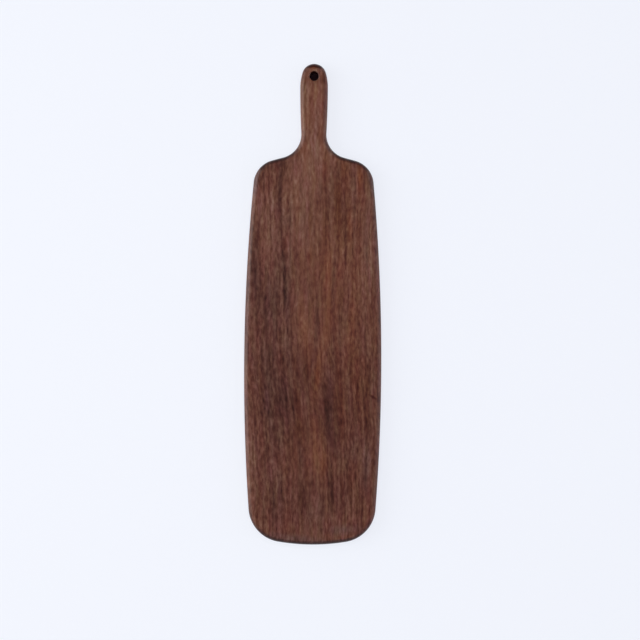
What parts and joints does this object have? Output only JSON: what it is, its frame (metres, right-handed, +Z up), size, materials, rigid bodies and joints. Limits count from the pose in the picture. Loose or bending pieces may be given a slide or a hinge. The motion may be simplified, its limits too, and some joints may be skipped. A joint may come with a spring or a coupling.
{
  "type": "serving board",
  "caption": "Long paddle-shaped wooden serving board with bowed sides, rounded corners, softened edges and a slim handle with a hanging hole.",
  "frame": {"origin": "on the resting face, under the middle of the board's length and width", "axes": "+Z up out of the working face, +Y along the grain towards the handle, +X across the board to the right as seen from above with the handle away"},
  "size_m": [0.12, 0.42, 0.015],
  "materials": {
    "oiled_walnut": "oiled, low sheen"
  },
  "bodies": {
    "root": {"left_stave": "oiled_walnut", "centre_stave": "oiled_walnut", "right_stave": "oiled_walnut"}
  },
  "joints": []
}
